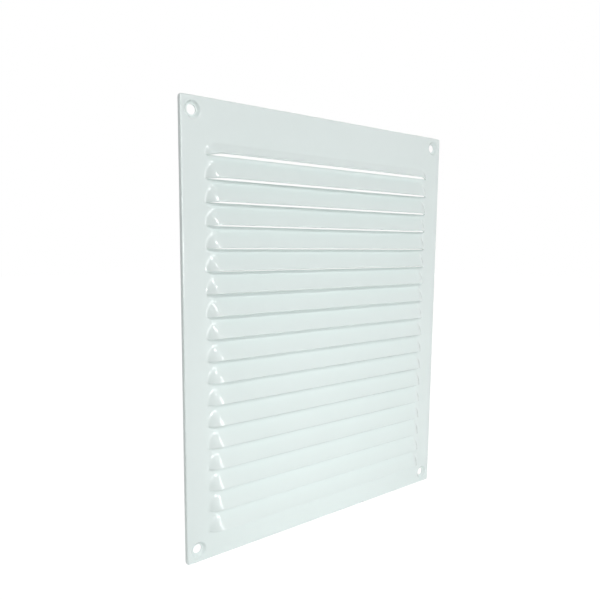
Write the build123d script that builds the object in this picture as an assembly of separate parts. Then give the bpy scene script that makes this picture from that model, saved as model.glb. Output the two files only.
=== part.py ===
from build123d import *
import os
from math import cos, radians, sin, tan

# Louvred wall vent grille pressed from one sheet of lacquered aluminium, in millimetres.
# The front faces -Y, Z is up, and the origin lies in the wall plane midway between the screw holes.

# Sheet and rim
WIDTH = 200.0
HEIGHT = 250.0
SHEET = 0.8
RIM_DEPTH = 2.5
RIM_BEND_RADIUS = 1.2
CORNER_RADIUS = 3.0

# Screw holes, each in a dimple pressed back to the wall plane
HOLE_DIAMETER = 4.6
HOLE_INSET = 7.0
DIMPLE_DIAMETER = 9.6
DIMPLE_ANGLE = 45.0
DIMPLE_MARGIN = 0.4

# Louvres, measured on the front of the sheet
LOUVRE_COUNT = 18
LOUVRE_PITCH = 12.1
LOUVRE_LENGTH = 172.0
LOUVRE_HEIGHT = 10.0
LOUVRE_ANGLE = 32.0
END_ANGLE = 60.0
LIP_GAP = 0.6
HIP_RADIUS = 5.0
BEND_RADIUS = 1.5
END_MARGIN = 4.0
LOWEST_SLIT = 15.5

# Construction
OVERSIZE = 6.0
TOLERANCE = 0.01

FRONT = -RIM_DEPTH
BACK = FRONT + SHEET
FIELD_WIDTH = LOUVRE_LENGTH + 2 * END_MARGIN
FIELD_HEIGHT = LOUVRE_COUNT * LOUVRE_PITCH
FIELD_BOTTOM = LOWEST_SLIT - HEIGHT / 2
SLOPE = radians(LOUVRE_ANGLE)
END_SLOPE = radians(END_ANGLE)
DIMPLE_SLOPE = radians(DIMPLE_ANGLE)


def along_x(points, length):
    """A (Y, Z) outline extruded both ways along X."""
    face = make_face(Plane.YZ * Polyline(*points, close=True))
    return extrude(face, amount=length / 2, both=True)


def along_z(points, bottom, top):
    """An (X, Y) outline extruded from one height to another."""
    face = make_face(Plane.XY.offset(bottom) * Polyline(*points, close=True))
    return extrude(face, amount=top - bottom)


def wedge(face_y, top, half_length):
    """Solid under one face of a louvre: a long slope closed by a steeper slope at each end."""
    depth = (top + OVERSIZE) * tan(SLOPE)
    tip_y = face_y - depth
    tip = half_length - depth / tan(END_SLOPE)
    slope = along_x([(face_y, top), (face_y, -OVERSIZE), (tip_y, -OVERSIZE)], 2 * half_length)
    plan = [(-half_length, face_y), (half_length, face_y), (tip, tip_y), (-tip, tip_y)]
    return slope & along_z(plan, -OVERSIZE, top)


def is_hip(edge):
    """Hips run from the plate to the lip, slanting in all three directions."""
    way = edge @ 1 - edge @ 0
    return min(abs(way.X), abs(way.Y), abs(way.Z)) > TOLERANCE


def is_bend(edge):
    """Bends lie in the plate's front, inside the edges of the pitch that holds one louvre."""
    box = edge.bounding_box()
    flat = box.min.Y > FRONT - TOLERANCE and box.max.Y < FRONT + TOLERANCE
    middle = edge.center()
    across = abs(middle.X) < FIELD_WIDTH / 2 - TOLERANCE
    return flat and across and TOLERANCE - OVERSIZE < middle.Z < LOUVRE_PITCH - TOLERANCE


def pressed_face(face_y, top, half_length, hip_radius):
    """Everything behind one face of the sheet, with the louvre's form raised on it."""
    plate = [(face_y, -OVERSIZE), (OVERSIZE, -OVERSIZE), (OVERSIZE, LOUVRE_PITCH), (face_y, LOUVRE_PITCH)]
    raised = wedge(face_y, top, half_length)
    raised = fillet([e for e in raised.edges() if is_hip(e)], hip_radius)
    return along_x(plate, FIELD_WIDTH) + raised


def louvre():
    """One pitch of the sheet, slit along Z = 0, with the louvre pressed out above the slit."""
    front = pressed_face(FRONT, LOUVRE_HEIGHT, LOUVRE_LENGTH / 2, HIP_RADIUS)
    front = fillet([e for e in front.edges() if is_bend(e)], BEND_RADIUS)
    inner_top = LOUVRE_HEIGHT - SHEET * tan(SLOPE / 2)
    inner_half_length = LOUVRE_LENGTH / 2 - SHEET * tan(END_SLOPE / 2)
    back = pressed_face(BACK, inner_top, inner_half_length, HIP_RADIUS - SHEET)
    return (front - back) & above_slit()


def above_slit():
    """Space above the cut: level through the plate, then square across the louvre's lip."""
    lip_z = LIP_GAP + SHEET * sin(SLOPE)
    lip_y = FRONT - (LOUVRE_HEIGHT - lip_z) * tan(SLOPE)
    outside_y = lip_y - OVERSIZE * cos(SLOPE)
    outline = [
        (OVERSIZE, 0),
        (FRONT, 0),
        (lip_y + SHEET * cos(SLOPE), LIP_GAP),
        (outside_y, lip_z + OVERSIZE * sin(SLOPE)),
        (outside_y, LOUVRE_PITCH),
        (OVERSIZE, LOUVRE_PITCH),
    ]
    return along_x(outline, FIELD_WIDTH)


def pan():
    """Plain sheet with its rim turned back to the wall."""
    body = extrude(Plane.XZ * RectangleRounded(WIDTH, HEIGHT, CORNER_RADIUS), RIM_DEPTH)
    body = fillet(body.faces().sort_by(Axis.Y)[0].edges(), RIM_BEND_RADIUS)
    hollow = RectangleRounded(WIDTH - 2 * SHEET, HEIGHT - 2 * SHEET, CORNER_RADIUS - SHEET)
    return body - extrude(Plane.XZ * hollow, RIM_DEPTH - SHEET)


def dimple():
    """Ring of sheet round one screw hole, pressed back to the wall, and the plain sheet it takes up."""
    hole = HOLE_DIAMETER / 2
    rim = DIMPLE_DIAMETER / 2
    seat = rim - (RIM_DEPTH - SHEET) / tan(DIMPLE_SLOPE)
    shift = SHEET * tan(DIMPLE_SLOPE / 2)
    edge = rim + shift + DIMPLE_MARGIN
    front = [(hole, -SHEET), (seat, -SHEET), (rim, FRONT), (edge, FRONT)]
    back = [(edge, BACK), (rim + shift, BACK), (seat + shift, 0), (hole, 0)]
    ring = revolve(make_face(Polyline(*front, *back, close=True)), Axis.Y)
    return ring, extrude(Plane.XZ * Circle(edge), RIM_DEPTH)


def grille():
    """The whole grille as one solid."""
    field = Plane.XZ * Pos(0, FIELD_BOTTOM + FIELD_HEIGHT / 2) * Rectangle(FIELD_WIDTH, FIELD_HEIGHT)
    body = pan() - extrude(field, RIM_DEPTH)
    one = louvre()
    body += [Pos(0, 0, FIELD_BOTTOM + n * LOUVRE_PITCH) * one for n in range(LOUVRE_COUNT)]
    ring, plain = dimple()
    corners = GridLocations(WIDTH - 2 * HOLE_INSET, HEIGHT - 2 * HOLE_INSET, 2, 2).locations
    places = [Pos(corner.position.X, 0, corner.position.Y) for corner in corners]
    body -= [place * plain for place in places]
    return body + [place * ring for place in places]


os.makedirs("parts", exist_ok=True)
part = grille()
part.label = "louvred_grille"
export_step(part, "parts/louvred_grille.step")
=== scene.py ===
from math import cos, radians, sin

import bpy
from mathutils import Matrix, Vector


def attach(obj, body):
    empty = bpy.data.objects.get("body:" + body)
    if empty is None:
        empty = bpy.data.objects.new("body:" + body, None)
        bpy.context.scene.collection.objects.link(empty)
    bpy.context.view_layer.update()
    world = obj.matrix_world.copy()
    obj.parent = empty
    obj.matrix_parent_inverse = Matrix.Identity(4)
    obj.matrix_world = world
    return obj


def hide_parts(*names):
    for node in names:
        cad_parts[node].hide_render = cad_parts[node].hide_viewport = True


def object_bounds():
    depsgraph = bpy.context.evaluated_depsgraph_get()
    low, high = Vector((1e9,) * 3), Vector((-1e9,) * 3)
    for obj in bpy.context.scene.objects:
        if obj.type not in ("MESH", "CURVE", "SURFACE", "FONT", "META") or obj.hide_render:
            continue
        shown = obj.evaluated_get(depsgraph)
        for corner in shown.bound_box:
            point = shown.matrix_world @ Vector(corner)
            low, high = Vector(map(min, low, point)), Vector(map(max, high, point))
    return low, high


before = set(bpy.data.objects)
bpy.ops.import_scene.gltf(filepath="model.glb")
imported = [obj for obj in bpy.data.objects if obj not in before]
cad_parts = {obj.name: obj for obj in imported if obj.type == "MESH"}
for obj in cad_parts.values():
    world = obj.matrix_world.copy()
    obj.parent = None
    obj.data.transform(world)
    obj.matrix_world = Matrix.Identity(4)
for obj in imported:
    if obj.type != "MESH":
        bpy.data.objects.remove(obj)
cad_box = [list(corner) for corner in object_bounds()]
bpy.ops.object.select_all(action="DESELECT")


# Sheet
# The grille is one white lacquered aluminium sheet, slit in eighteen rows and pressed out above
# each slit into a louvre with rounded ends. Its edge is turned back to the wall, and each corner
# has a screw hole in a dimple that is pressed back as far as the wall.
MM = 0.001
FRONT = -2.5
SHEET = 0.8
HALF_WIDTH = 100.0
HALF_HEIGHT = 125.0
CORNER_PULL = 0.2
RIM_STEPS = (1.2, 1.3)
EDGE_ROUND = 0.1
SHARP_ANGLE = radians(50)
SMOOTHING = 2

PITCH = 12.1
LOUVRES = 18
LOWEST_SLIT = -109.5
LOUVRE_COLUMNS = (75, 79.5, 82.6, 84.9, 86.4, 87.6)
LOUVRE_ROWS = (0, 3.6, 6.6, 8.9, 10.3, PITCH)
LOUVRE_RISE = {
    0: (1, 0.90, 0.66, 0.30),
    3.6: (1, 0.97, 0.78, 0.38),
    6.6: (1, 1.04, 0.92, 0.52),
    8.9: (1, 1.12, 1.05, 0.70),
}
LOUVRE_INSET = {3.6: 0.4, 6.6: 1.6, 8.9: 3.2}
INSET_COLUMNS = LOUVRE_COLUMNS[2:5]
LOUVRE_TOP = 10.0
LIP_OPENING = (1, 0.80, 0.35, 0.05)
LIP_DEPTH = 5.61
LIP_LIFT = 1.02
LIP_BAND = 2.0
TOP_LOUVRE_HEIGHT = 0.68
TOP_LOUVRE_DEPTH = 0.72
TOP_LIP_LIFT = 0.6

HOLE_X = 93.0
HOLE_Z = 118.0
HOLE_CELL = 5.4
HOLE_CELL_THIRD = 1.447
RING_RADIUS = 6.273
DIMPLE_RINGS = ((4.9, FRONT), (4.5, -2.2), (3.6, -1.0), (3.2, -SHEET), (2.7, -SHEET))

SAME = 0.01
SLACK = 0.1
BAND = 1.0


def near(value, target):
    """True for two lengths in millimetres that are the same."""
    return abs(value - target) < SAME


def pick(piece, test, kind="VERT"):
    """Selects, in edit mode, the points of a piece whose place in millimetres passes a test."""
    bpy.ops.object.mode_set(mode="EDIT")
    bpy.ops.mesh.select_mode(type="VERT")
    bpy.ops.mesh.select_all(action="DESELECT")
    bpy.ops.object.mode_set(mode="OBJECT")
    for point in piece.data.vertices:
        point.select = test(*(point.co / MM))
    bpy.ops.object.mode_set(mode="EDIT")
    bpy.ops.mesh.select_mode(type=kind)


def shift(x=0, y=0, z=0):
    """Moves what is selected, by millimetres."""
    bpy.ops.transform.translate(value=(x * MM, y * MM, z * MM))


def pull_out(x=0, y=0, z=0):
    """Extrudes what is selected, by millimetres."""
    bpy.ops.mesh.extrude_region_move(TRANSFORM_OT_translate={"value": (x * MM, y * MM, z * MM)})


def finish_with(piece, kind, **settings):
    """Adds a modifier to a piece and applies it."""
    bpy.ops.object.mode_set(mode="OBJECT")
    modifier = piece.modifiers.new(kind.lower(), kind)
    for name, value in settings.items():
        setattr(modifier, name, value)
    bpy.ops.object.modifier_apply(modifier=modifier.name)


# one pitch of the sheet is drawn out from a small square, column by column and row by row
columns = sorted({side * x for x in LOUVRE_COLUMNS for side in (-1, 1)})
rows = [LOWEST_SLIT + z for z in LOUVRE_ROWS]
half_cell = (columns[1] - columns[0]) / 2
bpy.ops.mesh.primitive_plane_add(
    size=2 * half_cell * MM,
    location=((columns[0] + half_cell) * MM, FRONT * MM, (rows[0] + half_cell) * MM),
    rotation=(radians(90), 0, 0),
)
sheet = bpy.context.object
sheet.name = "grille_sheet"
bpy.ops.object.transform_apply(location=True, rotation=True, scale=True)
pick(sheet, lambda x, y, z: z > rows[0] + half_cell)
shift(z=rows[1] - rows[0] - 2 * half_cell)
for old, new in zip(columns[1:], columns[2:]):
    pick(sheet, lambda x, y, z: near(x, old), "EDGE")
    pull_out(x=new - old)
for old, new in zip(rows[1:], rows[2:]):
    pick(sheet, lambda x, y, z: near(z, old), "EDGE")
    pull_out(z=new - old)

# the louvre is pressed out, steeply at its rounded ends and most at the lip
for height, rises in LOUVRE_RISE.items():
    row = LOWEST_SLIT + height
    depth = LIP_DEPTH * min(1, (LOUVRE_TOP - height) / (LOUVRE_TOP - LIP_LIFT))
    for column, rise, opening in zip(LOUVRE_COLUMNS, rises, LIP_OPENING):
        pick(sheet, lambda x, y, z: near(abs(x), column) and near(z, row))
        shift(y=-depth * rise, z=0 if height else LIP_LIFT * opening)

# its ends lean in towards the top
for height, inset in LOUVRE_INSET.items():
    row = LOWEST_SLIT + height
    for side in (-1, 1):
        pick(
            sheet,
            lambda x, y, z: near(z, row) and any(near(side * x, column) for column in INSET_COLUMNS),
        )
        shift(x=-side * inset)

# the pitch is repeated, and a plain strip is put under the lowest slit
finish_with(
    sheet,
    "ARRAY",
    count=LOUVRES,
    use_relative_offset=False,
    use_constant_offset=True,
    constant_offset_displace=(0, 0, PITCH * MM),
    use_merge_vertices=True,
    merge_threshold=SAME * MM,
)
pick(sheet, lambda x, y, z: rows[-2] - SLACK < z < rows[-1] + SLACK and near(y, FRONT), "FACE")
bpy.ops.mesh.duplicate_move(TRANSFORM_OT_translate={"value": (0, 0, -PITCH * MM)})
pick(sheet, lambda x, y, z: True)
bpy.ops.mesh.remove_doubles(threshold=SAME * MM)

# the top louvre is pressed less high and less far out than the rest, and its lip is lifted
top_slit = LOWEST_SLIT + (LOUVRES - 1) * PITCH
pressed_half = LOUVRE_COLUMNS[-1] - BAND
lip_half = LOUVRE_COLUMNS[1] + BAND
pick(
    sheet,
    lambda x, y, z: abs(x) < pressed_half and top_slit + LIP_BAND < z < top_slit + PITCH - BAND,
)
bpy.ops.transform.resize(value=(1, 1, TOP_LOUVRE_HEIGHT), center_override=(0, 0, top_slit * MM))
pick(
    sheet,
    lambda x, y, z: abs(x) < lip_half and y < FRONT - BAND and top_slit < z < top_slit + LIP_BAND,
)
shift(z=TOP_LIP_LIFT)
pick(sheet, lambda x, y, z: y < FRONT - SAME and z > top_slit - SLACK)
bpy.ops.transform.resize(value=(1, TOP_LOUVRE_DEPTH, 1), center_override=(0, FRONT * MM, 0))

# the plain border, with a square of nine cells round each screw hole
cell_parts = (-HOLE_CELL, -HOLE_CELL_THIRD, HOLE_CELL_THIRD, HOLE_CELL)
top = LOWEST_SLIT + LOUVRES * PITCH
bottom = rows[-2] - PITCH
for start, side in ((top, 1), (bottom, -1)):
    for step in (*[HOLE_Z + part for part in cell_parts], HALF_HEIGHT):
        pick(sheet, lambda x, y, z: near(z, start), "EDGE")
        pull_out(z=side * step - start)
        start = side * step
for side in (1, -1):
    start = side * LOUVRE_COLUMNS[-1]
    for step in (*[HOLE_X + part for part in cell_parts[1:]], HALF_WIDTH):
        pick(sheet, lambda x, y, z: near(x, start), "EDGE")
        pull_out(x=side * step - start)
        start = side * step

# the corners are eased and the rim is turned back to the wall
pick(sheet, lambda x, y, z: near(abs(x), HALF_WIDTH) and near(abs(z), HALF_HEIGHT))
eased = (1 - CORNER_PULL / HALF_WIDTH, 1, 1 - CORNER_PULL / HALF_HEIGHT)
bpy.ops.transform.resize(value=eased, center_override=(0, 0, 0))
pick(sheet, lambda x, y, z: abs(x) > HALF_WIDTH - BAND or abs(z) > HALF_HEIGHT - BAND, "EDGE")
for step in RIM_STEPS:
    pull_out(y=step)

# each screw hole takes the place of its cells, ringed by its dimple
for side_x in (-1, 1):
    for side_z in (-1, 1):
        hole = Vector((side_x * HOLE_X, FRONT, side_z * HOLE_Z))
        pick(sheet, lambda x, y, z: max(abs(x - hole.x), abs(z - hole.z)) < HOLE_CELL - BAND)
        bpy.ops.mesh.delete(type="VERT")
        pick(sheet, lambda x, y, z: max(abs(x - hole.x), abs(z - hole.z)) < HOLE_CELL + SLACK, "EDGE")
        pull_out()
        bpy.ops.transform.tosphere(value=1, center_override=hole * MM)
        radius, depth = RING_RADIUS, FRONT
        for number, (new_radius, new_depth) in enumerate(DIMPLE_RINGS):
            if number:
                pull_out()
            ratio = new_radius / radius
            bpy.ops.transform.resize(value=(ratio, 1, ratio), center_override=hole * MM)
            shift(y=new_depth - depth)
            radius, depth = new_radius, new_depth

# the bends are smoothed, the sheet gets its thickness, and its cut edges are eased
pick(sheet, lambda x, y, z: True)
bpy.ops.mesh.normals_make_consistent(inside=False)
finish_with(sheet, "SUBSURF", levels=SMOOTHING, render_levels=SMOOTHING)
finish_with(sheet, "SOLIDIFY", thickness=SHEET * MM, offset=-1, use_even_offset=True)
finish_with(
    sheet,
    "BEVEL",
    width=EDGE_ROUND * MM,
    segments=1,
    limit_method="ANGLE",
    angle_limit=SHARP_ANGLE,
)
bpy.ops.object.shade_smooth_by_angle(angle=SHARP_ANGLE)


class Wire:
    """A socket of a node tree. Sums and products of wires add Math nodes."""

    def __init__(self, tree, socket=None):
        self.tree = tree
        self.socket = socket

    def node(self, kind, settings=None, inputs=None, output=0):
        """Adds a node with its settings, then its inputs, and returns one of its outputs."""
        node = self.tree.nodes.new(kind)
        for name, value in (settings or {}).items():
            setattr(node, name, value)
        for name, value in (inputs or {}).items():
            if isinstance(value, Wire):
                self.tree.links.new(value.socket, node.inputs[name])
            else:
                node.inputs[name].default_value = value
        return Wire(self.tree, node.outputs[output] if node.outputs else None)

    def math(self, operation, first, second):
        """Adds a Math node on two wires or numbers."""
        return self.node("ShaderNodeMath", {"operation": operation}, {0: first, 1: second})

    def __add__(self, other):
        return self.math("ADD", self, other)

    def __mul__(self, other):
        return self.math("MULTIPLY", self, other)

    __radd__ = __add__
    __rmul__ = __mul__


def new_tree(block):
    """Gives a material or the world an empty node tree."""
    block.use_nodes = True
    block.node_tree.nodes.clear()
    return Wire(block.node_tree)


# the lacquer is a little uneven in colour and gloss, with a faint orange peel
LACQUER_DEEP = (0.834, 0.927, 0.907, 1)
LACQUER_PALE = (0.860, 0.942, 0.926, 1)
LACQUER_IOR = 1.5
CLOUD_SIZE = 0.045
PEEL_SIZE = 0.0016
PEEL_DEPTH = 0.000012
GRAIN_SIZE = 0.0004
GRAIN_SHARE = 0.2
ROUGHNESS = 0.45
ROUGHNESS_SPREAD = 0.06
TOP_COAT = 0.8
TOP_COAT_ROUGHNESS = 0.07

lacquer = bpy.data.materials.new("white_lacquer")
tree = new_tree(lacquer)
place = tree.node("ShaderNodeTexCoord", output="Object")
cloud = tree.node("ShaderNodeTexNoise", inputs={"Vector": place, "Scale": 1 / CLOUD_SIZE, "Detail": 3})
peel = tree.node("ShaderNodeTexNoise", inputs={"Vector": place, "Scale": 1 / PEEL_SIZE, "Detail": 1})
grain = tree.node("ShaderNodeTexNoise", inputs={"Vector": place, "Scale": 1 / GRAIN_SIZE, "Detail": 2})
shade = cloud * (1 - GRAIN_SHARE) + grain * GRAIN_SHARE
coat_colour = tree.node(
    "ShaderNodeMix",
    {"data_type": "RGBA"},
    {"Factor": shade, 6: LACQUER_DEEP, 7: LACQUER_PALE},
    output=2,
)
relief = tree.node("ShaderNodeBump", inputs={"Strength": 1.0, "Distance": PEEL_DEPTH, "Height": peel})
finish = tree.node(
    "ShaderNodeBsdfPrincipled",
    inputs={
        "Base Color": coat_colour,
        "Roughness": cloud * ROUGHNESS_SPREAD + (ROUGHNESS - ROUGHNESS_SPREAD / 2),
        "Normal": relief,
        "IOR": LACQUER_IOR,
        "Coat Weight": TOP_COAT,
        "Coat Roughness": TOP_COAT_ROUGHNESS,
    },
)
tree.node("ShaderNodeOutputMaterial", inputs={"Surface": finish})
sheet.data.materials.append(lacquer)
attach(sheet, "root")
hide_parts("louvred_grille")

# Table
# A plain white table top on which the grille stands upright on its lower edge.
# It shows white to the camera and keeps a share of the grille's soft shadow.
TABLE_SIZE = 6.0
TABLE_COLOUR = (0.86, 0.86, 0.86, 1)
TABLE_GLOW = 1.14
TABLE_GLOW_SHARE = 0.85

bpy.ops.mesh.primitive_plane_add(size=TABLE_SIZE, location=(0, 0, cad_box[0][2]))
table = bpy.context.object
table.name = "table"
table_top = bpy.data.materials.new("white_table")
tree = new_tree(table_top)


def seen_directly(tree):
    """One for rays that show a surface as itself, nought for rays that light something else."""
    camera_ray = tree.node("ShaderNodeLightPath", output="Is Camera Ray")
    glossy_ray = tree.node("ShaderNodeLightPath", output="Is Glossy Ray")
    clear_ray = tree.node("ShaderNodeLightPath", output="Is Transmission Ray")
    return tree.math("MINIMUM", camera_ray + glossy_ray + clear_ray, 1.0)


matt = tree.node("ShaderNodeBsdfDiffuse", inputs={"Color": TABLE_COLOUR})
glow = tree.node("ShaderNodeEmission", inputs={"Color": (1, 1, 1, 1), "Strength": TABLE_GLOW})
share = seen_directly(tree) * TABLE_GLOW_SHARE
surface = tree.node("ShaderNodeMixShader", inputs={0: share, 1: matt, 2: glow})
tree.node("ShaderNodeOutputMaterial", inputs={"Surface": surface})
table.data.materials.append(table_top)

# Light
# A dim white room with a small lamp in front and above, a narrow one turned to the lower border
# and one behind for the back. Four bright cards in front show only in the gloss, as the small
# highlights on the pressed ends and bends.
ROOM_LIGHT = 0.35
CARD_DISTANCE = 1.5
CARDS = {
    "high_card": {"azimuth": -20, "elevation": 39, "width": 0.22, "height": 0.22, "power": 3.0},
    "front_card": {"azimuth": 4, "elevation": 28, "width": 0.20, "height": 0.22, "power": 2.1},
    "tall_card": {"azimuth": -4, "elevation": 11, "width": 0.28, "height": 0.62, "power": 4.2},
    "low_card": {"azimuth": -6, "elevation": -1, "width": 0.36, "height": 0.18, "power": 2.6},
}
LOWER_BORDER = (0.01, 0, -0.125)

room = bpy.data.worlds.new("white_room")
bpy.context.scene.world = room
tree = new_tree(room)
seen = seen_directly(tree)
walls = tree.node(
    "ShaderNodeBackground",
    inputs={"Color": (1, 1, 1, 1), "Strength": seen * (1 - ROOM_LIGHT) + ROOM_LIGHT},
)
tree.node("ShaderNodeOutputWorld", inputs={"Surface": walls})


def soft_lamp(name, azimuth, elevation, distance, width, height, power, aim=(0, 0, 0), spread=180):
    """A soft lamp at a bearing from the grille's middle, turned to a point on it."""
    a, e = radians(azimuth), radians(elevation)
    place = Vector((sin(a) * cos(e), -cos(a) * cos(e), sin(e))) * distance
    bpy.ops.object.light_add(type="AREA", location=place)
    lamp = bpy.context.object
    lamp.name = name
    lamp.data.shape = "RECTANGLE"
    lamp.data.size = width
    lamp.data.size_y = height
    lamp.data.energy = power
    lamp.data.spread = radians(spread)
    lamp.rotation_euler = (Vector(aim) - place).to_track_quat("-Z", "Y").to_euler()
    return lamp


for name, card in CARDS.items():
    soft_lamp(name, distance=CARD_DISTANCE, **card).visible_diffuse = False
lamps = [
    soft_lamp("window_lamp", -5, 26, distance=1.0, width=0.2, height=0.2, power=3.3),
    soft_lamp(
        "low_lamp", -8, -4, distance=0.36, width=0.12, height=0.12, power=0.044, aim=LOWER_BORDER, spread=74
    ),
    soft_lamp("back_lamp", 165, 30, distance=1.2, width=0.5, height=0.5, power=3.2),
]
for lamp in lamps:
    lamp.visible_glossy = False

# Camera
# It stands to the left of the grille, a little above its middle, and looks slightly down.
# Lengths in the picture are in pixels.
CAMERA_PLACE = (-0.23255, -0.27280, 0.05034)
CAMERA_FORWARD = (0.60482, 0.78669, -0.12373)
CAMERA_UP = (0.06901, 0.10301, 0.99228)
CAMERA_NEAREST = 0.01
PICTURE = 600
FOCAL = 573.49
CENTRE = (298.4, 316.5)

bpy.ops.object.camera_add(location=CAMERA_PLACE)
camera = bpy.context.object
forward = Vector(CAMERA_FORWARD).normalized()
right = forward.cross(Vector(CAMERA_UP)).normalized()
camera.rotation_euler = Matrix((right, right.cross(forward), -forward)).transposed().to_euler()
camera.data.lens = FOCAL / PICTURE * camera.data.sensor_width
camera.data.shift_x = 0.5 - CENTRE[0] / PICTURE
camera.data.shift_y = CENTRE[1] / PICTURE - 0.5
camera.data.clip_start = CAMERA_NEAREST
bpy.context.scene.camera = camera

bpy.context.scene.view_settings.view_transform = "Standard"
